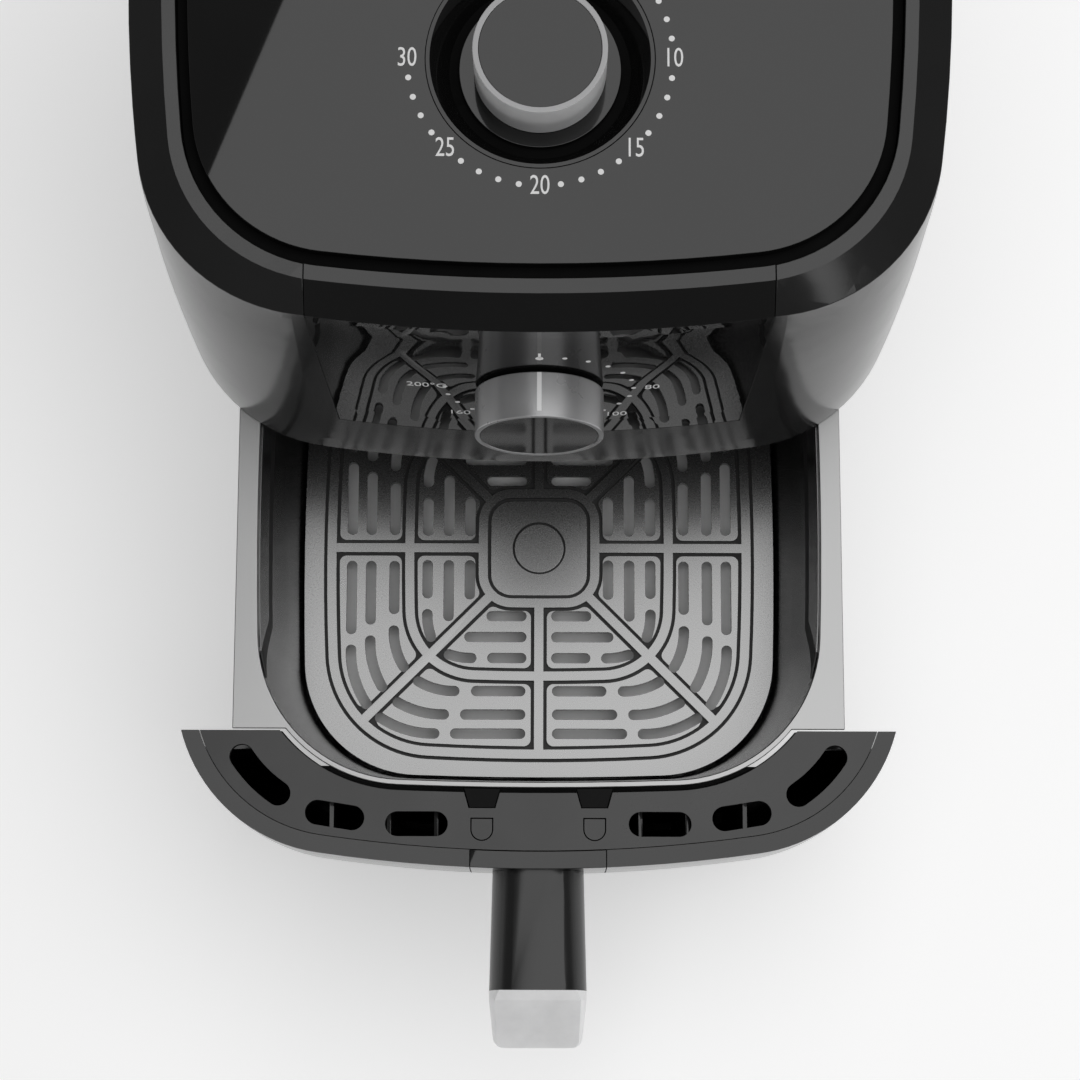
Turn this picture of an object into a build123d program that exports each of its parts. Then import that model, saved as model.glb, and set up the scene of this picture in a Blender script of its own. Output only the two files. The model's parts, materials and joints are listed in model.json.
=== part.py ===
"""Air fryer with its drawer pulled out.

Millimetres, +Z up, +Y towards the back. Everything is drawn about the body's own centre line with the
drawer closed. save() then puts the drawer's pieces at their rest place and moves the whole object so
that the origin is on the table under the middle of it.
"""
from build123d import *
import math
import os

# ---- body ----
BODY_TOP = 302.0          # flat rim and top panel
SHOULDER_Z = 295.0        # outer edge of the sloping shoulder
BODY_BOTTOM = 8.0         # the feet lift it clear of the table
SHELL = 3.0
FIT_GAP = 0.3             # between covers and what they are let into
BODY_CORNER_R = 67.0
BODY_SIDE_R = 620.0
# height, half width, reach to the front, reach to the back
BODY_LEVELS = [
    (BODY_BOTTOM, 129, 135, 126),
    (34, 140, 148, 137),
    (70, 147, 155, 144),
    (115, 151.5, 159, 148),
    (145, 152.5, 158.8, 149),
    (185, 153.2, 156, 149.2),
    (225, 153.2, 152.7, 149),
    (262, 152.4, 149.4, 148),
    (SHOULDER_Z, 151, 146.2, 146.2),
]
RIM_HALF = (138.0, 133.8)
RIM_CORNER_R = 60.0
GROOVE_HALF = (133.0, 128.3)
GROOVE_CORNER_R = 57.0
PANEL_HALF = (128.6, 122.9)
PANEL_CORNER_R = 53.0
TOP_SIDE_R = 700.0
PANEL_THICK = 5.0
DECK_THICK = 5.0

# ---- drawer ----
SEAM_Z = 140.5            # line between the drawer front and the shell above it
SEAM_GAP = 0.5
DRAWER_BACK_Y = -103.0    # the drawer front wraps round the sides to here
DRAWER_OUT = 166.4        # how far it is pulled out at rest
DRAWER_TOP = SEAM_Z - SEAM_GAP
RIM_WIDE = 7.0
SHELF_THICK = 3.5

# ---- pan and plate ----
PAN_HALF = 115.0          # inside half width at the rim
PAN_CENTRE_Y = -9.3
PAN_CORNER_R = 60.0
PAN_SIDE_R = 1500.0
PAN_WALL = 1.5
PAN_FLOOR_Z = 36.0
PAN_BEAD = 2.2
FLANGE_HALF = 123.5
FLANGE_BACK_Y = 114.2
FLANGE_HALF_LONG = 150.0
FLANGE_CORNER_R = 66.0
FLANGE_THICK = 1.4
# height, how far the inner wall has come in from the rim, corner radius
PAN_LEVELS = [(DRAWER_TOP, 0, 60), (48, 10.2, 50), (40, 12, 48.5), (37.2, 14.5, 47), (PAN_FLOOR_Z, 18, 44)]
PLATE_CENTRE_Y = -11.2
PLATE_HALF = (103.2, 101.3)
PLATE_CORNER_R = 50.0
PLATE_TOP_Z = 48.6        # top of the raised cells
PLATE_SHEET = 1.6         # the sheet at the bottom of the grooves
PLATE_SKIRT = 5.5
GROOVE_DEEP = 1.5
GROOVE_WIDE = 1.5
RIB_PROUD = 0.5           # the ribs stand this much above the cells
RIB_WIDE = 4.0
RIB_SIDE_R = 900.0
RIB_RINGS = [(24.6, 12.5), (57.0, 29.0), (91.3, 44.0)]
CELL_CORNER_R = 3.0
DIAGONAL_REACH = 1.21     # a rounded ring's corner is this much further out than its side
HUB_DISC_R = 10.9
BUMPER_IN = 23.0
SLOT_WIDE = 4.6
# distance from the plate's middle, then the stretches of the row: start, end, bend at the end
SLOT_ROWS = [
    (30.4, [(5.4, 23.0, 0)]),
    (39.7, [(5.4, 32.7, 0)]),
    (49.0, [(5.4, 22.6, 0), (27.3, 41.7, 1.6)]),
    (63.6, [(5.8, 29.6, 0), (34.6, 55.0, 4.3)]),
    (73.9, [(5.8, 34.3, 0), (39.1, 63.9, 5.3)]),
    (82.3, [(5.8, 38.6, 0), (43.2, 71.5, 7.0)]),
]

# ---- chamber ----
LINER_HALF = 126.2
LINER_SIDE_R = 200000.0   # the tunnel's sides are as good as straight
LINER_BACK_Y = 119.5
LINER_CORNER_R = 66.0
LINER_WALL = 1.2
LINER_FLOOR_Z = 29.0
ROOF_Z = 146.0
ROOF_TOP_Z = 192.0
ROOF_R = 104.0
RUNNING_GAP = 0.06
SHAFT_R = 4.0

# ---- timer dial, on the top ----
TIMER_Y = -45.7
CUP_TOP_R = 40.0
CUP_LOW_R = 33.3
CUP_DEEP = 14.5
CUP_WALL = 1.5
SKIRT_R = 29.7
KNOB_R = 24.3
TIMER_KNOB_TOP = BODY_TOP + 10.3
TIMER_SLEEVE_HIGH = 22.0

# ---- temperature dial, on the front ----
TEMP_Z = 233.5
TEMP_Y = -152.2
TEMP_OUT = 18.4
TEMP_SLEEVE_LOW = 0.8
LEAN = 4.75               # the front leans back by this many degrees
CONTROL_LOW_Z = 182.0
CONTROL_HALF = (79.0, 84.0)

# ---- handle ----
HANDLE_ROOT_Y = -154.0
HANDLE_CAP_Y = -206.6
HANDLE_END_Y = -229.1
HANDLE_TOP_Z = 136.5
HANDLE_LOW_Z = 108.0
HANDLE_SPLIT_Z = 118.0
CAP_COLLAR = 4.0
CAP_CORNER_R = 4.5
MOUNT_HALF = 27.25
MOUNT_DEEP = 14.0

# ---- drawer front ----
VENT_WIDE = 10.0
# centre x, centre y, length, turn in degrees
VENTS = [(48.8, -141.1, 25.2, 0), (81.6, -137.7, 24.0, 9)]
CORNER_VENT = (112.6, -122.3)
CORNER_VENT_R = 55.0
CORNER_VENT_SPAN = 22.0
CLIP_X = 22.6
CLIP_Y = -130.4
FINGER_Y = -141.1
LINER_OUT = 6.0           # the drawer's upright wall, out from the pan's opening
LINER_IN = 3.8
FLOOR_LIP = 22.0          # how far the drawer front's floor reaches in under the pan
FRONT_RIB_X = (41, 60, 83)

# ---- fittings of the body ----
GRILLE_HALF = 33.0
GRILLE_Z = 225.0
GRILLE_HIGH = 40.0
GLAND_Z = 44.0
GLAND_X = 60.0
GLAND_BACK_Y = 141.0
CORD_BORE_R = 3.6
FOOT_PLACES = [(-92, -88), (92, -88), (-86, 88), (86, 88)]
FOOT_HOLE_R = 2.1
RAIL_TOP_Z = DRAWER_TOP - 1.6
RAIL_LONG = 140.0
RAIL_MIDDLE_Y = -24.0

# ---- element, shield and motor ----
ELEMENT_Z = 163.0
ELEMENT_R = 3.2
ELEMENT_TURNS = (62, 84)
ELEMENT_LEG_X = 9.0
ELEMENT_LEG_Y = 83.5
GUARD_Z = 151.0
GUARD_RINGS = (30, 50, 70, 90)
SHIELD_TOP_Z = 206.0
SHIELD_R = 112.0
MOTOR_Z = (212.0, 243.0)
MOTOR_R = 30.0
MOTOR_SCREW_X = 22.0
BRACKET_Z = 210.9

# ---- switch and timer works ----
SWITCH_X = 131.5
SWITCH_Z = 100.0
SWITCH_DEEP = 14.0
PLUNGER_R = 2.0
TIMER_UNIT_Z = (260.0, 284.5)

BODY_BACK_Y = 149.2       # where the body's bowed back comes to
FRAME_SHIFT_Y = (DRAWER_OUT - HANDLE_END_Y - BODY_BACK_Y) / 2


# ---- shared shapes ----
def outline(half_x, half_y, corner_r, side_r, z=0.0, centre_y=0.0):
    """A closed face of four bowed sides joined by tangent corners."""
    reach = side_r - corner_r
    span = math.hypot(side_r - half_x, side_r - half_y)
    rise = math.sqrt(reach ** 2 - (span / 2) ** 2)
    corner = Vector((half_x - side_r) / 2 + rise * (side_r - half_y) / span,
                    (half_y - side_r) / 2 + rise * (side_r - half_x) / span)
    from_side = (corner - Vector(half_x - side_r, 0)).normalized()
    from_end = (corner - Vector(0, half_y - side_r)).normalized()
    side = Vector(half_x - side_r, 0) + from_side * side_r
    end = Vector(0, half_y - side_r) + from_end * side_r
    middle = corner + (from_side + from_end).normalized() * corner_r

    def at(point, sign_x, sign_y):
        return (point.X * sign_x, point.Y * sign_y + centre_y, z)

    edges = []
    for sign in (1, -1):
        side_middle = (half_x * sign, centre_y, z)
        end_middle = (0, half_y * sign + centre_y, z)
        edges.append(ThreePointArc(at(side, sign, -sign), side_middle, at(side, sign, sign)))
        edges.append(ThreePointArc(at(side, sign, sign), at(middle, sign, sign), at(end, sign, sign)))
        edges.append(ThreePointArc(at(end, sign, sign), end_middle, at(end, -sign, sign)))
        edges.append(ThreePointArc(at(end, -sign, sign), at(middle, -sign, sign), at(side, -sign, sign)))
    return Face(Wire(edges))


def slab(low, high, front=-400.0, back=400.0, half_x=400.0):
    """A box between two heights, wide enough to trim anything."""
    box = Box(2 * half_x, back - front, high - low)
    return Pos(0, (front + back) / 2, (low + high) / 2) * box


def prism(face, height):
    return extrude(face, amount=height, dir=(0, 0, 1))


def disc(radius, low, high, x=0.0, y=0.0):
    return Pos(x, y, (low + high) / 2) * Cylinder(radius, high - low)


def ring(outer_r, inner_r, low, high, x=0.0, y=0.0):
    return disc(outer_r, low, high, x, y) - disc(inner_r, low - 1, high + 1, x, y)


def across(radius, front, back, x, z):
    """A cylinder lying along Y."""
    return Pos(x, (front + back) / 2, z) * Rot(90, 0, 0) * Cylinder(radius, back - front)


def body_form(inset, low, high):
    """The body's outer form moved in by inset, between two heights."""
    faces = []
    for z, half_x, front, back in BODY_LEVELS:
        corner = BODY_CORNER_R * half_x / 151 - inset
        half_y = (front + back) / 2 - inset
        faces.append(outline(half_x - inset, half_y, corner, BODY_SIDE_R - inset, z, (back - front) / 2))
    return loft(faces) & slab(low, high)


def shoulder():
    """The slope from the widest edge up to the flat rim."""
    low = outline(BODY_LEVELS[-1][1], BODY_LEVELS[-1][2], BODY_CORNER_R, BODY_SIDE_R, SHOULDER_Z)
    high = outline(*RIM_HALF, RIM_CORNER_R, TOP_SIDE_R, BODY_TOP)
    return loft([low, high], ruled=True)


def pan_form(grow, low, high):
    """The pan's inner form moved out by grow, between two heights."""
    faces = []
    for z, come_in, corner in PAN_LEVELS:
        half = PAN_HALF - come_in + grow
        faces.append(outline(half, half, corner + grow, PAN_SIDE_R, z, PAN_CENTRE_Y))
    return loft(faces, ruled=True) & slab(low, high)


def rim_face(grow, z):
    """The outline of the pan's opening, moved out by grow."""
    return outline(PAN_HALF + grow, PAN_HALF + grow, PAN_CORNER_R + grow, PAN_SIDE_R, z, PAN_CENTRE_Y)


def pan_space(grow, low, high):
    """What the pan's rim sweeps when it is moved out by grow, straight up and down."""
    return prism(rim_face(grow, low), high - low)


def save(name, shape, in_drawer=False):
    out = DRAWER_OUT if in_drawer else 0
    moved = Pos(0, FRAME_SHIFT_Y - out, 0) * shape
    export_step(moved, "parts/" + name + ".step")


def save_drawer(name, shape):
    save(name, shape, in_drawer=True)


# ---- body shells ----
def control_prism(grow):
    """The wedge that the control panel takes out of the shell."""
    low_half, high_half = CONTROL_HALF
    points = [(-low_half - grow, CONTROL_LOW_Z - grow), (low_half + grow, CONTROL_LOW_Z - grow),
              (high_half + grow, SHOULDER_Z), (high_half + grow, BODY_TOP + 2),
              (-high_half - grow, BODY_TOP + 2), (-high_half - grow, SHOULDER_Z)]
    face = Plane.XZ * make_face(Polyline(*points, close=True))
    return extrude(face, amount=200, dir=(0, -1, 0)) & slab(100, 400, back=-90)


def full_shell():
    outer = body_form(0, BODY_BOTTOM, SHOULDER_Z) + shoulder()
    inner = body_form(SHELL, BODY_BOTTOM - 1, SHOULDER_Z - 2)
    opening = prism(outline(*GROOVE_HALF, GROOVE_CORNER_R, TOP_SIDE_R, SHOULDER_Z - 10), 20)
    drawer_place = slab(0, SEAM_Z, back=DRAWER_BACK_Y)
    bottom_hole = body_form(SHELL, BODY_BOTTOM, BODY_BOTTOM + 5)
    return outer - inner - opening - drawer_place - bottom_hole


def temp_axis_place():
    """Origin on the control panel at the dial's centre, local Z pointing out of the front."""
    return Location((0, TEMP_Y, TEMP_Z), (90 - LEAN, 0, 0))


def make_housing(shell):
    body = shell - control_prism(FIT_GAP)
    grille_hole = Pos(0, 150, GRILLE_Z) * Box(2 * (GRILLE_HALF + FIT_GAP), 40, GRILLE_HIGH + 2 * FIT_GAP)
    gland_hole = across(9 + FIT_GAP, 100, 160, GLAND_X, GLAND_Z)
    return body - grille_hole - gland_hole


def make_control_panel(shell):
    hole = temp_axis_place() * Cylinder(SHAFT_R + 1, 20)
    return (shell & control_prism(0)) - hole


def make_top_deck():
    z = BODY_TOP - PANEL_THICK - DECK_THICK
    half_x, half_y = GROOVE_HALF
    face = outline(half_x - FIT_GAP, half_y - FIT_GAP, GROOVE_CORNER_R - FIT_GAP, TOP_SIDE_R, z)
    deck = prism(face, DECK_THICK)
    return deck - disc(CUP_TOP_R + CUP_WALL + 0.5, z - 1, BODY_TOP, y=TIMER_Y)


def make_top_panel():
    z = BODY_TOP - PANEL_THICK
    panel = prism(outline(*PANEL_HALF, PANEL_CORNER_R, TOP_SIDE_R, z), PANEL_THICK)
    return panel - disc(CUP_TOP_R + CUP_WALL + 0.1, z - 1, BODY_TOP + 1, y=TIMER_Y)


def cup_cone(grow, low, high):
    """The recess's own cone moved out by grow."""
    slope = (CUP_TOP_R - CUP_LOW_R) / CUP_DEEP
    low_r = CUP_TOP_R - slope * (BODY_TOP - low) + grow
    high_r = CUP_TOP_R - slope * (BODY_TOP - high) + grow
    return Pos(0, TIMER_Y, (low + high) / 2) * Cone(low_r, high_r, high - low)


def make_dial_cup():
    floor_z = BODY_TOP - CUP_DEEP
    cup = cup_cone(CUP_WALL, floor_z - CUP_WALL, BODY_TOP) - cup_cone(0, floor_z, BODY_TOP + 1)
    return cup - disc(SHAFT_R + 2, floor_z - 5, BODY_TOP, y=TIMER_Y)


def make_niche_ceiling():
    ceiling = body_form(SHELL + 0.3, SEAM_Z, SEAM_Z + 2.5) & slab(0, 300, back=DRAWER_BACK_Y)
    return ceiling - pan_space(-30, 0, 300)


def make_front_bulkhead():
    wall = body_form(SHELL + 0.3, 12, SEAM_Z) & slab(0, 300, DRAWER_BACK_Y, DRAWER_BACK_Y + 2.5)
    mouth = slab(LINER_FLOOR_Z, 300, half_x=LINER_HALF + 0.1)
    switch_hole = across(PLUNGER_R + 0.4, DRAWER_BACK_Y - 10, DRAWER_BACK_Y + 10, SWITCH_X, SWITCH_Z)
    return wall - mouth - switch_hole


def make_base_cover():
    cover = body_form(SHELL + 0.3, BODY_BOTTOM, BODY_BOTTOM + 3.5) & slab(0, 300, front=DRAWER_BACK_Y)
    vent = extrude(SlotOverall(90, 5), amount=20, both=True)
    holes = [Pos(0, -40 + 16 * row, BODY_BOTTOM) * vent for row in range(7)]
    for x, y in FOOT_PLACES:
        holes.append(disc(FOOT_HOLE_R, 0, 20, x, y))
    return cover - holes


def make_feet():
    feet = []
    for x, y in FOOT_PLACES:
        pad = Pos(x, y, BODY_BOTTOM / 2) * Cone(8.5, 10.5, BODY_BOTTOM)
        feet.append(pad - disc(4.2, -1, 4, x, y) - disc(FOOT_HOLE_R, -1, 20, x, y))
    return Compound(feet)


def make_base_screws():
    screws = []
    for x, y in FOOT_PLACES:
        screws.append(disc(4, 1.5, 4, x, y) + disc(2, 3, 17, x, y))
    return Compound(screws)


def make_rear_grille():
    low = GRILLE_Z - GRILLE_HIGH / 2
    high = GRILLE_Z + GRILLE_HIGH / 2
    back = body_form(0, low, high) - body_form(SHELL, low - 1, high + 1)
    panel = back & slab(0, 400, front=100, half_x=GRILLE_HALF)
    slot = Rot(90, 0, 0) * extrude(SlotOverall(56, 3.4), amount=40, both=True)
    return panel - [Pos(0, 150, GRILLE_Z - 14 + 7 * row) * slot for row in range(5)]


def make_cord_gland():
    """A plain round outlet with its bore, facing back."""
    collar = across(12, GLAND_BACK_Y - 9, GLAND_BACK_Y, GLAND_X, GLAND_Z) - body_form(0, 0, 200)
    neck = across(9, GLAND_BACK_Y - 18, GLAND_BACK_Y - 2, GLAND_X, GLAND_Z)
    return collar + neck - across(CORD_BORE_R, 0, 200, GLAND_X, GLAND_Z)


# ---- chamber ----
def liner_face(grow, z):
    half_y = (LINER_BACK_Y - DRAWER_BACK_Y) + grow
    return outline(LINER_HALF + grow, half_y, LINER_CORNER_R + grow, LINER_SIDE_R, z, DRAWER_BACK_Y)


def make_chamber_liner():
    front = slab(0, 300, front=DRAWER_BACK_Y + 0.1)
    outer = prism(liner_face(0, LINER_FLOOR_Z), ROOF_Z - LINER_FLOOR_Z)
    inner = prism(liner_face(-LINER_WALL, LINER_FLOOR_Z + LINER_WALL), ROOF_Z)
    return (outer - inner) & front


def make_chamber_roof():
    """A round pan of sheet steel turned over above the drawer, with a flat skirt that closes the tunnel."""
    skirt = prism(liner_face(0, ROOF_Z), LINER_WALL) & slab(0, 300, front=DRAWER_BACK_Y + 3)
    inner_r = ROOF_R - LINER_WALL
    dome = disc(ROOF_R, ROOF_Z, ROOF_TOP_Z, y=PAN_CENTRE_Y)
    dome -= disc(inner_r, 0, ROOF_TOP_Z - LINER_WALL, y=PAN_CENTRE_Y)
    hole = disc(inner_r, 0, ROOF_Z + 5, y=PAN_CENTRE_Y)
    roof = skirt - hole + dome - disc(SHAFT_R + 2, 0, 300, y=PAN_CENTRE_Y)
    for x in (-ELEMENT_LEG_X, ELEMENT_LEG_X):
        roof -= disc(ELEMENT_R + 0.3, ROOF_Z, 300, x, PAN_CENTRE_Y + ELEMENT_LEG_Y)
    return roof


def make_drawer_rails():
    rails = []
    wall_x = LINER_HALF - LINER_WALL - 0.3
    for side in (-1, 1):
        upright = Pos(side * (wall_x - 0.75), RAIL_MIDDLE_Y, RAIL_TOP_Z - 4) * Box(1.5, RAIL_LONG, 8)
        ledge = Pos(side * (wall_x - 3), RAIL_MIDDLE_Y, RAIL_TOP_Z - 0.75) * Box(6, RAIL_LONG, 1.5)
        rails.append(upright + ledge)
    return Compound(rails)


def make_heating_element():
    """Two turns of tube with their cold ends going up through the roof."""
    near, far = ELEMENT_TURNS
    body = across(ELEMENT_R - 0.4, PAN_CENTRE_Y - far, PAN_CENTRE_Y - near, 0, ELEMENT_Z)
    for radius in ELEMENT_TURNS:
        body += Pos(0, PAN_CENTRE_Y, ELEMENT_Z) * Torus(radius, ELEMENT_R)
    for x in (-ELEMENT_LEG_X, ELEMENT_LEG_X):
        body += disc(ELEMENT_R, ELEMENT_Z, ROOF_TOP_Z + 12, x, PAN_CENTRE_Y + ELEMENT_LEG_Y)
    return body


def make_element_brackets():
    """Three straps that hang from the roof and hold both turns of the element."""
    middle = sum(ELEMENT_TURNS) / 2
    low = ELEMENT_Z + 4
    high = ROOF_TOP_Z - LINER_WALL
    strap = Pos(middle, 0, (low + high) / 2) * Box(2, 8, high - low)
    strap += Pos(middle, 0, low + 0.5) * Box(34, 8, 1.8)
    return Compound([Pos(0, PAN_CENTRE_Y, 0) * Rot(0, 0, 30 + 120 * step) * strap for step in range(3)])


def make_element_guard():
    """A wire guard under the element: rings and spokes on one level."""
    wires = [ring(radius + 1, radius - 1, GUARD_Z - 1, GUARD_Z + 1) for radius in GUARD_RINGS]
    spoke = Box(2 * (ROOF_R - LINER_WALL - FIT_GAP), 2, 2)
    for step in range(4):
        wires.append(Pos(0, 0, GUARD_Z) * Rot(0, 0, 45 * step) * spoke)
    guard = wires[0].fuse(*wires[1:])
    return Pos(0, PAN_CENTRE_Y, 0) * guard


def make_heat_shield():
    low = SHIELD_TOP_Z - LINER_WALL
    plate = ring(SHIELD_R, 26, low, SHIELD_TOP_Z, y=PAN_CENTRE_Y)
    legs = []
    for x, y in ((-90, 0), (90, 0), (0, -90)):
        legs.append(disc(3, ROOF_TOP_Z, low, x, PAN_CENTRE_Y + y))
    return plate.fuse(*legs)


def make_motor():
    low, high = MOTOR_Z
    can = disc(MOTOR_R, low + 4, high - 3) + disc(12, low, high)
    can -= disc(SHAFT_R + RUNNING_GAP, low - 1, high + 1)
    return Pos(0, PAN_CENTRE_Y, 0) * can - motor_screw_holes()


def make_motor_bracket():
    leg_high = BRACKET_Z - SHIELD_TOP_Z
    bar = Box(150, 36, 2)
    for side in (-1, 1):
        bar += Pos(side * 70, 0, -leg_high / 2) * Box(10, 36, leg_high)
    return Pos(0, PAN_CENTRE_Y, BRACKET_Z) * (bar - Cylinder(13, 10)) - motor_screw_holes()


def motor_screw_holes():
    return [disc(1.7, 200, MOTOR_Z[0] + 16, x, PAN_CENTRE_Y) for x in (-MOTOR_SCREW_X, MOTOR_SCREW_X)]


def make_motor_screws():
    screws = []
    for x in (-MOTOR_SCREW_X, MOTOR_SCREW_X):
        head = disc(3.2, BRACKET_Z - 3, BRACKET_Z - 1, x, PAN_CENTRE_Y)
        screws.append(head + disc(1.6, BRACKET_Z - 2, MOTOR_Z[0] + 12, x, PAN_CENTRE_Y))
    return Compound(screws)


def make_fan_shaft():
    return disc(SHAFT_R, ROOF_TOP_Z - 24, MOTOR_Z[1] + 12, y=PAN_CENTRE_Y)


def bladed_wheel(outer_r, hub_r, blades, low, high, lean):
    """A disc with upright blades leaning by lean degrees, and a hub bored for the shaft."""
    wheel = disc(outer_r, high - 1.2, high) + disc(hub_r, low, high)
    blade = Rot(0, 0, lean) * Box(outer_r - hub_r - 3, 1.4, high - low - 1)
    blade = Pos((outer_r + hub_r) / 2, 0, (low + high - 1) / 2) * blade
    for step in range(blades):
        wheel += Rot(0, 0, step * 360 / blades) * blade
    return Pos(0, PAN_CENTRE_Y, 0) * (wheel - disc(SHAFT_R, low - 1, high + 1))


# ---- electrics ----
def make_interlock_switch():
    front = DRAWER_BACK_Y + 2.6
    case = Pos(SWITCH_X, front + SWITCH_DEEP / 2, SWITCH_Z) * Box(5.6, SWITCH_DEEP, 20)
    return case - across(PLUNGER_R + RUNNING_GAP, front - 11, front + 11, SWITCH_X, SWITCH_Z)


def make_interlock_plunger():
    return across(PLUNGER_R, DRAWER_BACK_Y, DRAWER_BACK_Y + 9, SWITCH_X, SWITCH_Z)


def make_timer_unit():
    low, high = TIMER_UNIT_Z
    box = Pos(0, TIMER_Y, (low + high) / 2) * Box(52, 46, high - low)
    lugs = Pos(0, TIMER_Y, high - 1) * Box(70, 12, 2)
    return box + lugs - disc(SHAFT_R + RUNNING_GAP, high - 20, high + 5, y=TIMER_Y)


def make_timer_bell():
    gong = disc(13, 0, 9) - disc(12, -1, 8)
    return Pos(44, TIMER_Y + 30, 262) * (gong + disc(2, -6, 8.5))


def make_timer_shaft():
    return disc(SHAFT_R, TIMER_UNIT_Z[1] - 18, TIMER_KNOB_TOP - 5, y=TIMER_Y)


def make_thermostat_body():
    box = Pos(0, 0, -26) * Box(36, 30, 24)
    hole = Pos(0, 0, -20) * Cylinder(SHAFT_R + RUNNING_GAP, 24)
    return temp_axis_place() * (box - hole)


def make_thermostat_bulb():
    return Pos(-70, PAN_CENTRE_Y - 30, 198.5) * Rot(0, 90, 25) * Cylinder(2.6, 44)


def make_thermal_cutout():
    return Pos(52, PAN_CENTRE_Y + 48, 195) * (Cylinder(8, 6) + Pos(0, 0, 3.5) * Box(24, 8, 1.2))


def make_terminal_block():
    block = Box(40, 20, 14)
    for step in range(4):
        block -= Pos(-13.5 + 9 * step, 0, 4) * Cylinder(2.4, 10)
    return Pos(GLAND_X - 20, 118, 214) * block


# ---- dials ----
def make_knob(outer_r, low, high, shaft_top):
    knob = disc(outer_r - 2.0, low, high)
    return knob - disc(SHAFT_R, low - 1, shaft_top)


def save_timer_dial():
    base = BODY_TOP - CUP_DEEP + 0.5
    sleeve_low = TIMER_KNOB_TOP - TIMER_SLEEVE_HIGH
    skirt = ring(SKIRT_R, SHAFT_R + 3, base, base + 2, y=TIMER_Y)
    knob = Pos(0, TIMER_Y, 0) * make_knob(KNOB_R, base + 2, TIMER_KNOB_TOP - 2, TIMER_KNOB_TOP - 5)
    collar = ring(SHAFT_R + 3, SHAFT_R, base, base + 2, y=TIMER_Y)
    sleeve = ring(KNOB_R, KNOB_R - 2, sleeve_low, TIMER_KNOB_TOP, y=TIMER_Y)
    cap = disc(KNOB_R - 2.05, TIMER_KNOB_TOP - 2, TIMER_KNOB_TOP - 0.4, y=TIMER_Y)
    save("timer_skirt", skirt)
    save("timer_knob", knob + collar)
    save("timer_sleeve", sleeve)
    save("timer_cap", cap)
    save("timer_shaft", make_timer_shaft())


def save_temp_dial():
    place = temp_axis_place()
    knob = make_knob(KNOB_R, 1.0, TEMP_OUT - 2, TEMP_OUT - 6)
    sleeve = ring(KNOB_R, KNOB_R - 2, TEMP_SLEEVE_LOW, TEMP_OUT)
    cap = disc(KNOB_R - 2.05, TEMP_OUT - 2, TEMP_OUT - 0.3)
    strip = Pos(0, KNOB_R, (TEMP_OUT - 1) / 2) * Box(1.7, 3, TEMP_OUT - 3.4)
    pointer = strip & ring(KNOB_R + 0.15, KNOB_R, 0, TEMP_OUT)
    save("temp_knob", place * knob)
    save("temp_sleeve", place * sleeve)
    save("temp_cap", place * cap)
    save("temp_pointer", place * pointer)
    save("temp_shaft", place * disc(SHAFT_R, -30, TEMP_OUT - 6))


# ---- drawer ----
def vent_shapes():
    shapes = []
    for side in (-1, 1):
        for x, y, length, turn in VENTS:
            slot = extrude(SlotOverall(length, VENT_WIDE), amount=20, both=True)
            shapes.append(Pos(side * x, y, DRAWER_TOP) * Rot(0, 0, side * turn) * slot)
        arc = CenterArc((0, 0, 0), CORNER_VENT_R, -45 - CORNER_VENT_SPAN / 2, CORNER_VENT_SPAN)
        bean = extrude(SlotArc(arc, VENT_WIDE), amount=20, both=True)
        offset = CORNER_VENT_R * math.sqrt(0.5)
        placed = Pos(CORNER_VENT[0] - offset, CORNER_VENT[1] + offset, DRAWER_TOP) * bean
        shapes.append(placed if side > 0 else placed.mirror(Plane.YZ))
    return shapes


def clip_shape(grow, low, high):
    """One wedge-shaped tab that holds the pan, wider at the pan."""
    points = [(-7.9 - grow, 5), (7.9 + grow, 5), (5.2 + grow, -4.2 - grow), (-5.2 - grow, -4.2 - grow)]
    face = make_face(Polyline(*points, close=True))
    return Pos(0, CLIP_Y, low) * extrude(face, amount=high - low)


def finger_hole():
    return extrude(Rectangle(9.2, 5) + Pos(0, -2.2) * Circle(4.6), amount=20, both=True)


def make_drawer_front():
    back = slab(0, 300, back=DRAWER_BACK_Y - SEAM_GAP)
    hollow_back = slab(0, 300, back=DRAWER_BACK_Y - SEAM_GAP - SHELL)
    shell = body_form(0, BODY_BOTTOM, DRAWER_TOP) & back
    hollow = body_form(SHELL, BODY_BOTTOM + SHELL, DRAWER_TOP - SHELF_THICK - 0.1) & hollow_back
    mouth = body_form(RIM_WIDE, 100, DRAWER_TOP + 1) & back
    notch_low = HANDLE_LOW_Z - MOUNT_DEEP - FIT_GAP
    notch = slab(notch_low, 300, half_x=MOUNT_HALF + FIT_GAP) & slab(0, 300, back=-140)
    floor_top = BODY_BOTTOM + SHELL
    pan_place = pan_space(LINER_OUT + 0.2, floor_top, 300) + pan_space(-FLOOR_LIP, 0, floor_top + 1)
    ribs = [rib & hollow for rib in front_ribs()]
    return (shell - hollow - mouth - notch).fuse(*ribs) - pan_place


def front_ribs():
    """Upright ribs that stiffen the drawer front, from its floor up to the shelf."""
    rib = slab(BODY_BOTTOM + 1, DRAWER_TOP, back=-90, half_x=0.8)
    return [Pos(side * x, 0, 0) * rib for x in FRONT_RIB_X for side in (-1, 1)]


def make_drawer_shelf():
    low = DRAWER_TOP - SHELF_THICK
    shelf = body_form(RIM_WIDE + 0.3, low, DRAWER_TOP) & slab(0, 300, back=DRAWER_BACK_Y - SEAM_GAP)
    shelf = shelf - pan_space(PAN_BEAD + 2.2, 0, 300) - vent_shapes()
    for side in (-1, 1):
        shelf -= Pos(side * CLIP_X, 0, 0) * clip_shape(0.2, low - 1, DRAWER_TOP + 1)
        shelf -= Pos(side * CLIP_X, FINGER_Y, DRAWER_TOP) * finger_hole()
    return shelf


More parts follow.
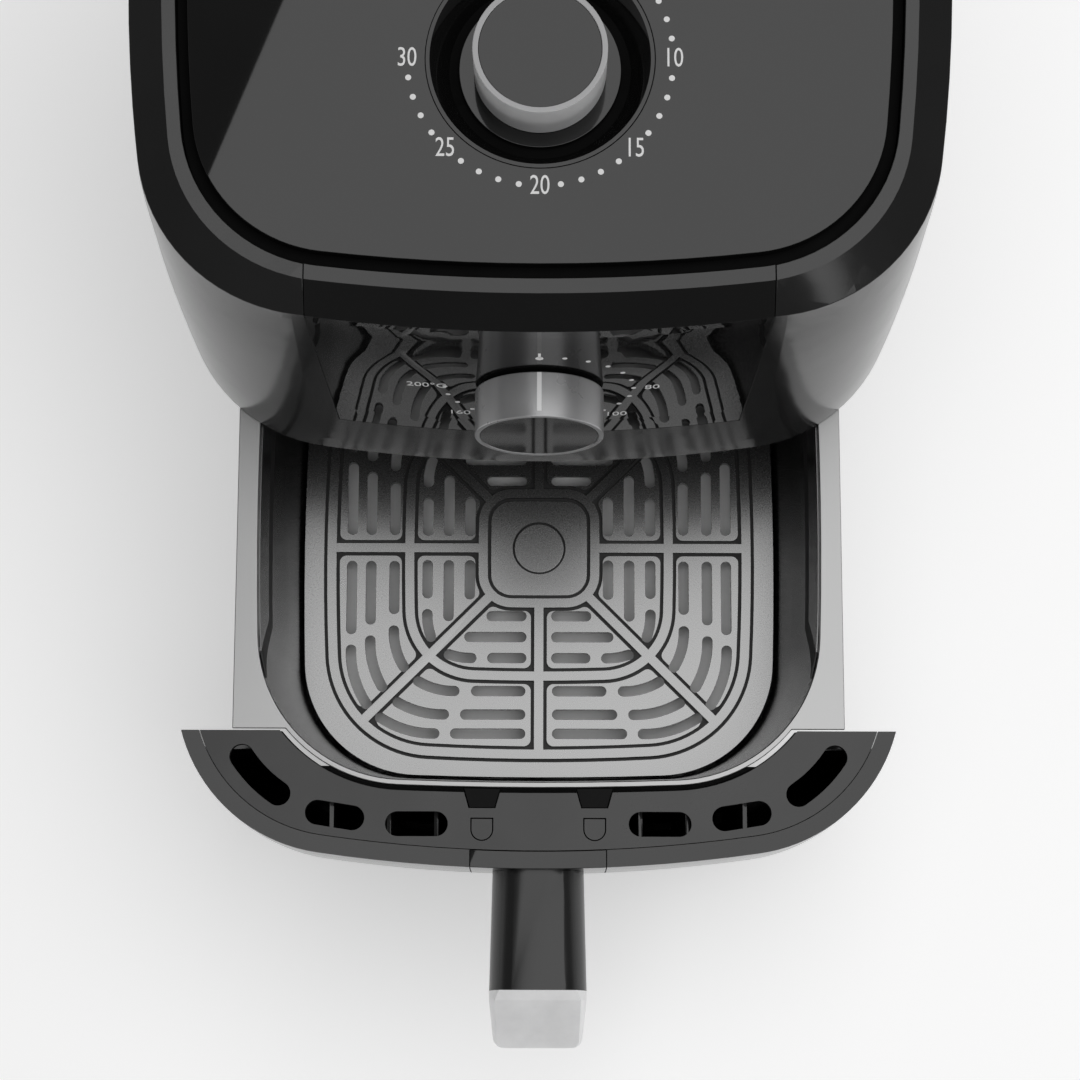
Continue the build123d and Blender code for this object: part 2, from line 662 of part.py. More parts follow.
def make_shelf_buttons():
    """The two small release buttons that fill the shelf's finger-shaped holes."""
    button = Pos(0, 0, -1.8) * extrude(Rectangle(8.2, 4) + Pos(0, -2.2) * Circle(4.1), amount=1.6, both=True)
    return Compound([Pos(side * CLIP_X, FINGER_Y, DRAWER_TOP) * button for side in (-1, 1)])


def make_drawer_liner():
    """The upright wall between the drawer front's hollow and the pan, with two ears closing the ends."""
    high = DRAWER_TOP - SHELF_THICK - 0.1
    wall = pan_space(LINER_OUT, BODY_BOTTOM + SHELL + 0.1, high) - pan_space(LINER_IN, 0, 300)
    return wall & slab(0, 300, back=DRAWER_BACK_Y - SEAM_GAP)


def make_handle_mount():
    low = HANDLE_LOW_Z - MOUNT_DEEP
    block = body_form(0, low, DRAWER_TOP) - body_form(RIM_WIDE, low - 5, DRAWER_TOP + 1)
    return block & slab(0, 300, back=-140, half_x=MOUNT_HALF)


def handle_face(half, flat, top, low, y):
    """The handle's section: flat top and bottom, bowed sides."""
    middle = (top + low) / 2 - 1
    edges = [Line((-flat, y, top), (flat, y, top)),
             ThreePointArc((flat, y, top), (half, y, middle), (flat, y, low)),
             Line((flat, y, low), (-flat, y, low)),
             ThreePointArc((-flat, y, low), (-half, y, middle), (-flat, y, top))]
    return Face(Wire(edges))


def handle_form():
    root = handle_face(18.35, 9.2, HANDLE_TOP_Z, HANDLE_LOW_Z, HANDLE_ROOT_Y)
    tip = handle_face(19.6, 10.4, HANDLE_TOP_Z, HANDLE_LOW_Z + 2, HANDLE_CAP_Y)
    return loft([root, tip]) - body_form(0, HANDLE_LOW_Z - 10, DRAWER_TOP)


def make_handle_cap():
    """The end cap: a short collar that fills out, then a flat face sloping away to a rounded end."""
    sections = [handle_face(19.6, 15.4, HANDLE_TOP_Z, HANDLE_LOW_Z + 2, HANDLE_CAP_Y),
                handle_face(19.6, 17.2, HANDLE_TOP_Z - 1, HANDLE_LOW_Z + 2, HANDLE_CAP_Y - CAP_COLLAR),
                handle_face(17.6, 16.4, HANDLE_LOW_Z + 13, HANDLE_LOW_Z + 4, HANDLE_END_Y)]
    cap = loft(sections, ruled=True)
    end = cap.faces().sort_by(Axis.Y)[0]
    corners = [edge for edge in end.edges() if edge.geom_type != GeomType.LINE]
    return fillet(corners, CAP_CORNER_R)


def make_handle_screws():
    screws = []
    for x in (-9, 9):
        head = Pos(x, -150, HANDLE_SPLIT_Z) * Rot(90, 0, 0) * Cylinder(3.4, 2.4)
        stem = Pos(x, -158, HANDLE_SPLIT_Z) * Rot(90, 0, 0) * Cylinder(1.7, 16)
        screws.append(head + stem)
    return Compound(screws)


def screw_clearance():
    holes = []
    for x in (-9, 9):
        holes.append(Pos(x, -158, HANDLE_SPLIT_Z) * Rot(90, 0, 0) * Cylinder(1.75, 20))
    return holes


def make_pan_clips():
    clips = []
    for side in (-1, 1):
        tab = Pos(side * CLIP_X, 0, 0) * clip_shape(0, DRAWER_TOP - SHELF_THICK, DRAWER_TOP - 1.2)
        clips.append(tab - pan_space(PAN_BEAD + 0.2, 0, 300))
    return Compound(clips)


# ---- pan ----
def make_pan():
    floor_half = PAN_HALF - PAN_LEVELS[-1][1] + PAN_WALL
    floor_corner = PAN_LEVELS[-1][2] + PAN_WALL
    low = PAN_FLOOR_Z - PAN_WALL
    floor = outline(floor_half, floor_half, floor_corner, PAN_SIDE_R, low, PAN_CENTRE_Y)
    cup = pan_form(PAN_WALL, PAN_FLOOR_Z, DRAWER_TOP) + prism(floor, PAN_WALL)
    bead = pan_space(PAN_BEAD, DRAWER_TOP - 2.2, DRAWER_TOP)
    flange_low = DRAWER_TOP - FLANGE_THICK
    centre_y = FLANGE_BACK_Y - FLANGE_HALF_LONG
    face = outline(FLANGE_HALF, FLANGE_HALF_LONG, FLANGE_CORNER_R, LINER_SIDE_R, flange_low, centre_y)
    flange = prism(face, FLANGE_THICK) & slab(0, 300, front=DRAWER_BACK_Y + 0.2)
    hollow = pan_form(0, PAN_FLOOR_Z, DRAWER_TOP)
    return cup + bead + flange - hollow


def sector_slots():
    """The slot cutters of one half side, between the cross rib and the diagonal rib."""
    cutters = []
    for distance, stretches in SLOT_ROWS:
        for start, end, bend in stretches:
            first = Vector(start + SLOT_WIDE / 2, distance)
            last = Vector(end - SLOT_WIDE / 2, distance - bend)
            if bend:
                middle = Vector((first.X + last.X) / 2, distance - bend * 0.22)
                shape = SlotArc(ThreePointArc(first, middle, last), SLOT_WIDE)
            else:
                shape = Pos((start + end) / 2, distance) * SlotOverall(end - start, SLOT_WIDE)
            cutters.append(extrude(shape, amount=10, both=True))
    return cutters


def ring_face(ring_number, grow):
    """The outline of one rib ring's centre line, moved out by grow."""
    half, corner = RIB_RINGS[ring_number]
    return outline(half + grow, half + grow, corner + grow, RIB_SIDE_R)


def spokes(wide):
    """The four cross ribs and four diagonal ribs, as flat strips from the hub to the outer ring."""
    strips = []
    for turn in range(8):
        reach = DIAGONAL_REACH if turn % 2 else 1
        near = RIB_RINGS[0][0] * reach
        far = RIB_RINGS[-1][0] * reach
        strips.append(Rot(0, 0, 45 * turn) * Pos((near + far) / 2, 0) * Rectangle(far - near, wide))
    return strips


def raised(faces, high):
    """Raises flat faces from the plate's sheet to a height above its grooves."""
    sunk = 0.2
    place = Location((0, 0, -GROOVE_DEEP - sunk))
    return [prism(face, high + sunk).moved(place) for face in faces]


def beside_spoke(corner, grow):
    """Whether a point lies on the edge of a groove along a cross rib or a diagonal rib."""
    from_cross = min(abs(corner.X), abs(corner.Y))
    from_diagonal = abs(abs(corner.X) - abs(corner.Y)) * math.sqrt(0.5)
    return min(from_cross, from_diagonal) < grow + 0.05


def cell_faces():
    """The raised cells: each band between two rings, less the ribs and the grooves beside them."""
    grow = RIB_WIDE / 2 + GROOVE_WIDE
    cells = []
    for number in range(len(RIB_RINGS) - 1):
        band = Sketch() + ring_face(number + 1, -grow) - ring_face(number, grow) - spokes(2 * grow)
        for face in band.faces():
            corners = [corner for corner in face.vertices() if beside_spoke(corner, grow)]
            cells.append(face.fillet_2d(CELL_CORNER_R, corners))
    return cells


def make_crisper_plate():
    plate_face = outline(*PLATE_HALF, PLATE_CORNER_R, PAN_SIDE_R)
    half_x, half_y = PLATE_HALF
    wall = PLATE_SHEET
    inside = outline(half_x - wall, half_y - wall, PLATE_CORNER_R - wall, PAN_SIDE_R, -PLATE_SKIRT - 1)
    grow = RIB_WIDE / 2
    sheet = Pos(0, 0, -GROOVE_DEEP - PLATE_SHEET) * prism(plate_face, PLATE_SHEET)
    skirt = Pos(0, 0, -PLATE_SKIRT) * prism(plate_face, PLATE_SKIRT) - prism(inside, 20)
    rim = Sketch() + plate_face - ring_face(2, grow + GROOVE_WIDE)
    hub = Sketch() + ring_face(0, -grow - GROOVE_WIDE) - Circle(HUB_DISC_R + 0.8)
    rings = range(len(RIB_RINGS))
    ribs = [Sketch() + ring_face(number, grow) - ring_face(number, -grow) for number in rings]
    plate = sheet.fuse(skirt, *raised([rim, hub] + cell_faces(), GROOVE_DEEP))
    plate = plate.fuse(*raised(ribs + spokes(RIB_WIDE), GROOVE_DEEP + RIB_PROUD))
    cutters = []
    for cutter in sector_slots():
        for piece in (cutter, cutter.mirror(Plane.YZ)):
            cutters += [Rot(0, 0, 90 * turn) * piece for turn in range(4)]
    return Pos(0, PLATE_CENTRE_Y, PLATE_TOP_Z) * plate.cut(*cutters)


def make_plate_bumpers():
    """Four soft feet under the plate's corners, standing on the pan's floor."""
    low = PAN_FLOOR_Z + 0.1
    high = PLATE_TOP_Z - GROOVE_DEEP - PLATE_SHEET
    bumpers = []
    for sign_x in (-1, 1):
        for sign_y in (-1, 1):
            x = sign_x * (PLATE_HALF[0] - BUMPER_IN)
            y = PLATE_CENTRE_Y + sign_y * (PLATE_HALF[1] - BUMPER_IN)
            turned = Rot(0, 0, 45 * sign_x * sign_y) * Box(5, 9, high - low)
            bumpers.append(Pos(x, y, (low + high) / 2) * turned)
    return Compound(bumpers)


def make_hub_disc():
    return disc(HUB_DISC_R, PLATE_TOP_Z - GROOVE_DEEP, PLATE_TOP_Z - 0.2, y=PLATE_CENTRE_Y)


def save_body():
    shell = full_shell()
    save("housing", make_housing(shell))
    save("control_panel", make_control_panel(shell))
    save("top_deck", make_top_deck())
    save("top_panel", make_top_panel())
    save("dial_cup", make_dial_cup())
    save("niche_ceiling", make_niche_ceiling())
    save("front_bulkhead", make_front_bulkhead())
    save("base_cover", make_base_cover())
    save("feet", make_feet())
    save("base_screws", make_base_screws())
    save("rear_grille", make_rear_grille())
    save("cord_gland", make_cord_gland())


def save_chamber():
    save("chamber_liner", make_chamber_liner())
    save("chamber_roof", make_chamber_roof())
    save("drawer_rails", make_drawer_rails())
    save("heating_element", make_heating_element())
    save("element_brackets", make_element_brackets())
    save("element_guard", make_element_guard())
    save("heat_shield", make_heat_shield())
    save("motor", make_motor())
    save("motor_bracket", make_motor_bracket())
    save("motor_screws", make_motor_screws())
    save("fan_shaft", make_fan_shaft())
    save("fan_impeller", bladed_wheel(52, 9, 9, ROOF_TOP_Z - 20, ROOF_TOP_Z - 6, 18))
    save("cooling_fan", bladed_wheel(34, 9, 7, MOTOR_Z[1] + 1.5, MOTOR_Z[1] + 10, 18))


def save_electrics():
    save("interlock_switch", make_interlock_switch())
    save("interlock_plunger", make_interlock_plunger())
    save("timer_unit", make_timer_unit())
    save("timer_bell", make_timer_bell())
    save("thermostat_body", make_thermostat_body())
    save("thermostat_bulb", make_thermostat_bulb())
    save("thermal_cutout", make_thermal_cutout())
    save("terminal_block", make_terminal_block())


def save_drawer_pieces():
    save_drawer("drawer_front", make_drawer_front())
    save_drawer("drawer_shelf", make_drawer_shelf())
    save_drawer("shelf_buttons", make_shelf_buttons())
    save_drawer("drawer_liner", make_drawer_liner())
    save_drawer("handle_mount", make_handle_mount() - screw_clearance())
    handle = handle_form() - screw_clearance()
    save_drawer("handle_grip", handle & slab(HANDLE_SPLIT_Z, 300))
    save_drawer("handle_under", handle & slab(0, HANDLE_SPLIT_Z - 0.1))
    save_drawer("handle_cap", make_handle_cap())
    save_drawer("handle_screws", make_handle_screws())
    save_drawer("pan_clips", make_pan_clips())
    save_drawer("pan", make_pan())
    save_drawer("crisper_plate", make_crisper_plate())
    save_drawer("plate_bumpers", make_plate_bumpers())
    save_drawer("hub_disc", make_hub_disc())


os.makedirs("parts", exist_ok=True)
save_body()
save_chamber()
save_electrics()
save_timer_dial()
save_temp_dial()
save_drawer_pieces()
print("frame shift", FRAME_SHIFT_Y)
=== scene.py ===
"""Air fryer with its drawer pulled out: the finished surfaces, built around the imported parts."""

import json
import math

import bpy
from mathutils import Matrix, Vector


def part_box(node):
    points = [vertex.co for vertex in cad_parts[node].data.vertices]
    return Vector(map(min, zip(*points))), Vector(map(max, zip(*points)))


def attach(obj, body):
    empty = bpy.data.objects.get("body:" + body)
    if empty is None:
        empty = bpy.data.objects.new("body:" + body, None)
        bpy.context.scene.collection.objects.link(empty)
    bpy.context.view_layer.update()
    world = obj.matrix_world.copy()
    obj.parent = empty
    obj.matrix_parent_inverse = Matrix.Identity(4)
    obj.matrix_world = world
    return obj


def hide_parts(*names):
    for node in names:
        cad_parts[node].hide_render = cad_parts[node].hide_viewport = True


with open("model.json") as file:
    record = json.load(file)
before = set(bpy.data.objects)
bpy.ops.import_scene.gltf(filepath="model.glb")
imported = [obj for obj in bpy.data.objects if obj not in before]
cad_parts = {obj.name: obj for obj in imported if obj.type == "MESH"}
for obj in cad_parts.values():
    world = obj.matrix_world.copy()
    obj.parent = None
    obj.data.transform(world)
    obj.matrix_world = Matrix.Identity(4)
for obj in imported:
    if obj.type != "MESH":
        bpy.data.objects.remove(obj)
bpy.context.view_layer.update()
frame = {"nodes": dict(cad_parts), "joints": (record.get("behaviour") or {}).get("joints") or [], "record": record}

MM = 0.001

# ---- shaping sizes ----
MERGE_DISTANCE = 0.002 * MM
FLAT_TURN = 0.2             # degrees between faces that count as one flat face
CURVED_TURN = 0.02          # the same on the gently curved pieces
SOFT_ANGLE = 30             # degrees up to which neighbouring faces are shaded as one
CRISP_ANGLE = 14            # where the rim meets the shoulder at a slight angle that has to look crisp
EDGE_ANGLE = 40             # degrees from which an edge is eased
EDGE_SEGMENTS = 2
RIM_FALL = 0.28 * MM
RIM_SKIN = 0.02 * MM
SHOULDER_HIGH = 7.2 * MM


# ---- places, all worked out from the parts ----
def box_centre(node):
    low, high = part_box(node)
    return (Vector(low) + Vector(high)) / 2


def box_low(node):
    return Vector(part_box(node)[0])


def box_high(node):
    return Vector(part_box(node)[1])


BODY_CENTRE_Y = box_centre("top_panel").y
PANEL_TOP = box_high("top_panel").z
TIMER_CENTRE = Vector((0, box_centre("timer_cap").y, PANEL_TOP))


def joint(name):
    return next(entry for entry in frame["joints"] if entry["name"] == name)


# ---- shaping ----
def select_only(*objects):
    bpy.ops.object.select_all(action="DESELECT")
    for obj in objects:
        obj.select_set(True)
    bpy.context.view_layer.objects.active = objects[0]


def apply_modifier(obj, kind, **settings):
    select_only(obj)
    modifier = obj.modifiers.new(kind.lower(), kind)
    for name, value in settings.items():
        setattr(modifier, name, value)
    bpy.ops.object.modifier_apply(modifier=modifier.name)


def smooth_by_angle(obj, degrees=SOFT_ANGLE):
    select_only(obj)
    bpy.ops.object.shade_smooth_by_angle(angle=math.radians(degrees))


def round_edges(obj, width):
    apply_modifier(obj, "BEVEL", width=width, segments=EDGE_SEGMENTS, limit_method="ANGLE",
                   angle_limit=math.radians(EDGE_ANGLE), use_clamp_overlap=True, harden_normals=True)


def place_in_mesh(obj):
    """Moves the object's place into its mesh and leaves the object at the origin."""
    select_only(obj)
    bpy.ops.object.transform_apply(location=True, rotation=True, scale=True)


def select_where(obj, wanted):
    """Enters edit mode with only the vertices selected whose places the test accepts."""
    select_only(obj)
    bpy.ops.object.mode_set(mode="EDIT")
    bpy.ops.mesh.select_mode(type="VERT")
    bpy.ops.mesh.select_all(action="DESELECT")
    bpy.ops.object.mode_set(mode="OBJECT")
    for vertex in obj.data.vertices:
        vertex.select = wanted(vertex.co)
    bpy.ops.object.mode_set(mode="EDIT")


def slope_rim(piece):
    """Lets the flat rim fall slightly towards the groove round the top panel."""
    top = PANEL_TOP - RIM_SKIN
    inner = set()
    for face in piece.data.polygons:
        across = Vector((face.center.x, face.center.y - BODY_CENTRE_Y))
        faces_in = face.normal.x * across.x + face.normal.y * across.y < 0
        if abs(face.normal.z) < 0.1 and faces_in:
            inner.update(index for index in face.vertices if piece.data.vertices[index].co.z > top)
    places = {tuple(round(value, 7) for value in piece.data.vertices[index].co) for index in inner}
    select_where(piece, lambda co: tuple(round(value, 7) for value in co) in places)
    bpy.ops.transform.translate(value=(0, 0, -RIM_FALL))
    bpy.ops.object.mode_set(mode="OBJECT")


SHAPERS = {"housing": slope_rim, "control_panel": slope_rim}
CURVED = ("housing", "control_panel", "drawer_front", "handle_mount", "rear_grille")


def finish_node(node, body, material, edge):
    """A merged, smooth copy of one CAD node with its sharp edges eased, shown in the node's place."""
    source = frame["nodes"][node]
    piece = source.copy()
    piece.data = source.data.copy()
    piece.name = node + "_finished"
    bpy.context.scene.collection.objects.link(piece)
    piece.parent = None
    piece.matrix_world = Matrix.Identity(4)
    select_only(piece)
    bpy.ops.object.mode_set(mode="EDIT")
    bpy.ops.mesh.select_all(action="SELECT")
    bpy.ops.mesh.remove_doubles(threshold=MERGE_DISTANCE)
    turn = CURVED_TURN if node in CURVED else FLAT_TURN
    bpy.ops.mesh.dissolve_limited(angle_limit=math.radians(turn))
    bpy.ops.object.mode_set(mode="OBJECT")
    if node in SHAPERS:
        SHAPERS[node](piece)
    smooth_by_angle(piece, CRISP_ANGLE if node in SHAPERS else SOFT_ANGLE)
    if edge:
        round_edges(piece, edge)
    piece.data.materials.clear()
    piece.data.materials.append(material)
    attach(piece, body)
    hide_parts(node)
    return piece


# ---- materials ----
def new_material(name):
    material = bpy.data.materials.new(name)
    material.use_nodes = True
    return material, material.node_tree, material.node_tree.nodes["Principled BSDF"]


def noise(tree, scale, detail=3.0, roughness=0.5, stretch=None):
    coordinates = tree.nodes.new("ShaderNodeTexCoord")
    texture = tree.nodes.new("ShaderNodeTexNoise")
    texture.inputs["Scale"].default_value = scale
    texture.inputs["Detail"].default_value = detail
    texture.inputs["Roughness"].default_value = roughness
    if stretch:
        mapping = tree.nodes.new("ShaderNodeMapping")
        mapping.inputs["Scale"].default_value = stretch
        tree.links.new(coordinates.outputs["Object"], mapping.inputs["Vector"])
        tree.links.new(mapping.outputs["Vector"], texture.inputs["Vector"])
    else:
        tree.links.new(coordinates.outputs["Object"], texture.inputs["Vector"])
    return texture.outputs["Fac"]


def ramp(tree, value, low, high, start=0.3, end=0.7):
    """Turns a noise value into a number between low and high."""
    node = tree.nodes.new("ShaderNodeMapRange")
    node.inputs["From Min"].default_value = start
    node.inputs["From Max"].default_value = end
    node.inputs["To Min"].default_value = low
    node.inputs["To Max"].default_value = high
    tree.links.new(value, node.inputs["Value"])
    return node.outputs["Result"]


def colour_between(tree, value, first, second):
    node = tree.nodes.new("ShaderNodeMix")
    node.data_type = "RGBA"
    node.inputs["A"].default_value = (*first, 1)
    node.inputs["B"].default_value = (*second, 1)
    tree.links.new(value, node.inputs["Factor"])
    return node.outputs["Result"]


def bump(tree, shader, value, distance, strength=1.0):
    node = tree.nodes.new("ShaderNodeBump")
    node.inputs["Distance"].default_value = distance
    node.inputs["Strength"].default_value = strength
    tree.links.new(value, node.inputs["Height"])
    tree.links.new(node.outputs["Normal"], shader.inputs["Normal"])


def grey(level, tint=0.0):
    return (level, level, level * (1 + tint))


def plastic(name, level, rough, grain_scale, grain_deep, spread=0.15, wear=0.06, specular=0.5):
    """Moulded plastic: a fine grain, faint cloudy colour and slightly uneven gloss."""
    material, tree, shader = new_material(name)
    shader.inputs["Specular IOR Level"].default_value = specular
    cloud = ramp(tree, noise(tree, 14.0, 4.0), 0, 1)
    colour = colour_between(tree, cloud, grey(level * (1 - spread)), grey(level * (1 + spread)))
    tree.links.new(colour, shader.inputs["Base Color"])
    smear = noise(tree, 32.0, 5.0, 0.6)
    gloss = ramp(tree, smear, rough * (1 - wear * 2), rough * (1 + wear * 2))
    tree.links.new(gloss, shader.inputs["Roughness"])
    if grain_deep:
        bump(tree, shader, noise(tree, grain_scale, 2.0), grain_deep * MM)
    return material


def metal(name, colour, rough, grain_stretch, grain_deep, metallic=1.0):
    """Metal with a drawn grain, or a paint that looks like it where metallic is low."""
    material, tree, shader = new_material(name)
    shader.inputs["Metallic"].default_value = metallic
    grain = noise(tree, 60.0, 4.0, 0.6, grain_stretch)
    darker = tuple(channel * 0.88 for channel in colour)
    mixed = colour_between(tree, ramp(tree, grain, 0, 1), darker, colour)
    tree.links.new(mixed, shader.inputs["Base Color"])
    tree.links.new(ramp(tree, grain, rough * 0.85, rough * 1.15), shader.inputs["Roughness"])
    bump(tree, shader, grain, grain_deep * MM)
    return material


def non_stick(name, level, rough, metallic=1.0):
    """Grey non-stick coating: a fine sprayed speckle under a soft gloss."""
    material, tree, shader = new_material(name)
    shader.inputs["Metallic"].default_value = metallic
    speckle = noise(tree, 1600.0, 2.0)
    cloud = noise(tree, 9.0, 3.0)
    mixed = tree.nodes.new("ShaderNodeMath")
    mixed.operation = "MULTIPLY"
    tree.links.new(ramp(tree, speckle, 0.96, 1.0, 0.35, 0.65), mixed.inputs[0])
    tree.links.new(ramp(tree, cloud, 0.9, 1.0), mixed.inputs[1])
    colour = colour_between(tree, mixed.outputs[0], grey(level * 0.5), grey(level))
    tree.links.new(colour, shader.inputs["Base Color"])
    tree.links.new(ramp(tree, speckle, rough * 0.97, rough * 1.03), shader.inputs["Roughness"])
    bump(tree, shader, speckle, 0.001 * MM)
    return material


shell_plastic = plastic("satin_shell", 0.012, 0.13, 700.0, 0.004)
gloss_panel = plastic("gloss_panel", 0.006, 0.015, 0, 0)
# near black and nearly unreflecting: painted shade, laid on the top deck, the drawer liner and the dial cup's
# floor where they lie in shade
painted_shade_black = plastic("painted_shade_black", 0.003, 0.6, 500.0, 0.01, specular=0.04)
clip_plastic = plastic("clip_plastic", 0.004, 0.3, 700.0, 0.01, specular=0.06)
gloss_dial = plastic("gloss_dial", 0.006, 0.06, 0, 0)
drawer_plastic = plastic("drawer_plastic", 0.022, 0.3, 900.0, 0.01)
handle_plastic = plastic("handle_plastic", 0.012, 0.24, 900.0, 0.008)
hidden_plastic = plastic("dull_plastic", 0.02, 0.45, 600.0, 0.02)
pale_plastic = plastic("pale_plastic", 0.6, 0.4, 500.0, 0.01, 0.04)
printed_white = plastic("printed_white", 0.85, 0.4, 300.0, 0.004, 0.02)
soft_rubber = plastic("soft_rubber", 0.025, 0.6, 500.0, 0.03)
pan_coating = non_stick("pan_coating", 0.34, 0.32)
# the same coating as the rim, darker: painted shade on the pan's walls and wall strips
wall_coating_painted_shade = non_stick("pan_wall_painted_shade", 0.2, 0.24)
# a much lighter, duller copy of the pan's coating: painted light on the floor seen through the plate's slots
floor_coating_painted_light = non_stick("pan_floor_painted_light", 0.85, 0.5, 0.2)
plate_coating = non_stick("plate_coating", 0.29, 0.27)
# near black, unreflecting coating for the plate's grooves and the strips' edges: painted shade
groove_shade = non_stick("plate_groove_painted_shade", 0.02, 0.55, 0.0)
satin_silver = metal("satin_silver", (0.46, 0.46, 0.465), 0.45, (1, 1, 1), 0.002, 0.1)
# painted light: the timer sleeve's sides get a near-white, unmetallic copy of the silver so they read lighter
sleeve_painted_light = metal("sleeve_side", (0.95, 0.95, 0.955), 0.5, (1, 1, 1), 0.002, 0.0)
cap_silver = metal("cap_silver", (0.97, 0.97, 0.975), 0.35, (1, 1, 1), 0.002, 0.05)
side_plastic = plastic("satin_side", 0.012, 0.16, 700.0, 0.004, specular=0.22)
front_silver = metal("front_silver", (0.4, 0.4, 0.405), 0.3, (1, 1, 1), 0.002, 0.5)
sheet_steel = metal("sheet_steel", (0.42, 0.42, 0.43), 0.35, (1, 20, 1), 0.01)
dark_steel = metal("heated_steel", (0.16, 0.14, 0.13), 0.4, (1, 1, 1), 0.02)
motor_steel = metal("motor_steel", (0.35, 0.36, 0.37), 0.4, (1, 1, 12), 0.01)
screw_steel = metal("screw_steel", (0.55, 0.55, 0.56), 0.3, (8, 8, 8), 0.01)
fan_metal = metal("fan_aluminium", (0.62, 0.62, 0.63), 0.32, (14, 1, 1), 0.01)
brass = metal("bell_brass", (0.7, 0.52, 0.24), 0.25, (1, 1, 20), 0.005)
copper = metal("bulb_copper", (0.62, 0.33, 0.2), 0.3, (20, 1, 1), 0.005)

SLOT_MATERIALS = {
    "shell": shell_plastic, "gloss": gloss_panel, "gloss_cup": gloss_dial,
    "dark_plastic": hidden_plastic, "shelf": drawer_plastic, "handle": handle_plastic,
    "pale_plastic": pale_plastic, "white_mark": printed_white,
    "rubber": soft_rubber, "silicone": soft_rubber,
    "screw_steel": screw_steel, "liner_steel": sheet_steel, "element_steel": dark_steel,
    "motor_steel": motor_steel, "fan_aluminium": fan_metal, "brass": brass, "copper": copper,
    "silver": satin_silver, "pan_coating": pan_coating, "plate_coating": plate_coating,
}

# nodes whose finish differs from the rest of their slot; on top_deck and drawer_liner it is near-black painted
# shade, not their own colour
OWN_MATERIALS = {"top_deck": painted_shade_black, "pan_clips": clip_plastic, "drawer_liner": painted_shade_black,
                 "temp_sleeve": front_silver, "handle_cap": cap_silver}


def node_slots():
    return {part["node"]: part["material_slot"] for part in frame["record"]["subparts"]}


# node: width of its eased edges in mm
FINISHED = {
    "housing": 0.3, "control_panel": 0.3, "top_panel": 0.3, "dial_cup": 0.1, "top_deck": 0,
    "niche_ceiling": 0, "front_bulkhead": 0, "chamber_liner": 0,
    "base_cover": 0.3, "feet": 0.6, "rear_grille": 0.3, "cord_gland": 0.6,
    "timer_skirt": 0.3, "timer_knob": 0.3, "timer_sleeve": 0.2, "timer_cap": 0.25,
    "temp_knob": 0.3, "temp_sleeve": 0.5, "temp_cap": 0.2,
    "drawer_front": 0.4, "drawer_shelf": 0.35, "shelf_buttons": 0.3, "drawer_liner": 0.2,
    "handle_mount": 0.3, "handle_grip": 0.2, "handle_under": 0.3, "handle_cap": 0.8,
    "pan_clips": 0.4, "pan": 0.5, "crisper_plate": 0.35, "hub_disc": 0.25,
    "plate_bumpers": 0.5, "interlock_plunger": 0.3,
}


def body_of_node():
    owners = {}
    for body, nodes in frame["record"]["behaviour"]["bodies"].items():
        for node in nodes:
            owners[node] = body
    return owners


def finish_all_nodes():
    owners = body_of_node()
    slots = node_slots()
    pieces = {}
    for node, slot in slots.items():
        material = OWN_MATERIALS.get(node, SLOT_MATERIALS[slot])
        if node in FINISHED:
            pieces[node] = finish_node(node, owners[node], material, FINISHED[node] * MM)
        else:
            source = frame["nodes"][node]
            source.data.materials.clear()
            source.data.materials.append(material)
    return pieces


pieces = finish_all_nodes()


# ---- second finishes on the same piece ----
def paint_faces(piece, material, wanted):
    """Gives a second material to the faces that the test accepts."""
    piece.data.materials.append(material)
    last = len(piece.data.materials) - 1
    for face in piece.data.polygons:
        if wanted(face):
            face.material_index = last


PLATE_TOP = box_high("hub_disc").z + 0.2 * MM
PLATE_LOW = box_low("crisper_plate").z
PLATE_MIDDLE = box_centre("crisper_plate")
PLATE_HALF = box_high("crisper_plate") - PLATE_MIDDLE
PLATE_EDGE = 3 * MM
GROOVE_FLOOR = PLATE_TOP - 1.5 * MM
GROOVE_SLACK = 0.3 * MM
PAN_MIDDLE = box_centre("pan")
PAN_RIM = box_high("pan").z
PAN_BEAD = 3 * MM
CUP_FLOOR = box_low("timer_skirt").z
LEVEL = 0.9                 # least upward lean of a face that counts as a floor


def in_groove(face):
    """The floors and side walls of the grooves pressed between the plate's ribs and cells, coated near black as
    painted shade.
    """
    place = face.center
    away_x = abs(place.x)
    away_y = abs(place.y - PLATE_MIDDLE.y)
    inside = away_x < PLATE_HALF.x - PLATE_EDGE and away_y < PLATE_HALF.y - PLATE_EDGE
    at_floor = face.normal.z > LEVEL and abs(place.z - GROOVE_FLOOR) < GROOVE_SLACK
    wall = abs(face.normal.z) < 0.6 and GROOVE_FLOOR < place.z < PLATE_TOP + 0.2 * MM
    return inside and (at_floor or wall)


def pan_wall(face):
    """The pan's own inside below its rim, which gets a darker copy of the pan's coating as painted shade."""
    return face.center.z < PAN_RIM - PAN_BEAD


def pan_floor(face):
    """The pan's floor, seen through the plate's slots, which gets a much lighter copy of the coating as painted
    light.
    """
    return face.normal.z > LEVEL and face.center.z < PLATE_LOW


# the timer sleeve's upright sides, which get the lighter copy of the silver as painted light
def sleeve_side(face):
    return abs(face.normal.z) < 0.5


# the dial cup's floor round the skirt, which gets the near-black material as painted shade
def cup_floor(face):
    return face.normal.z > LEVEL and face.center.z < CUP_FLOOR


def side_wall(face):
    """The shell below its sloping shoulder."""
    return face.center.z < PANEL_TOP - SHOULDER_HIGH


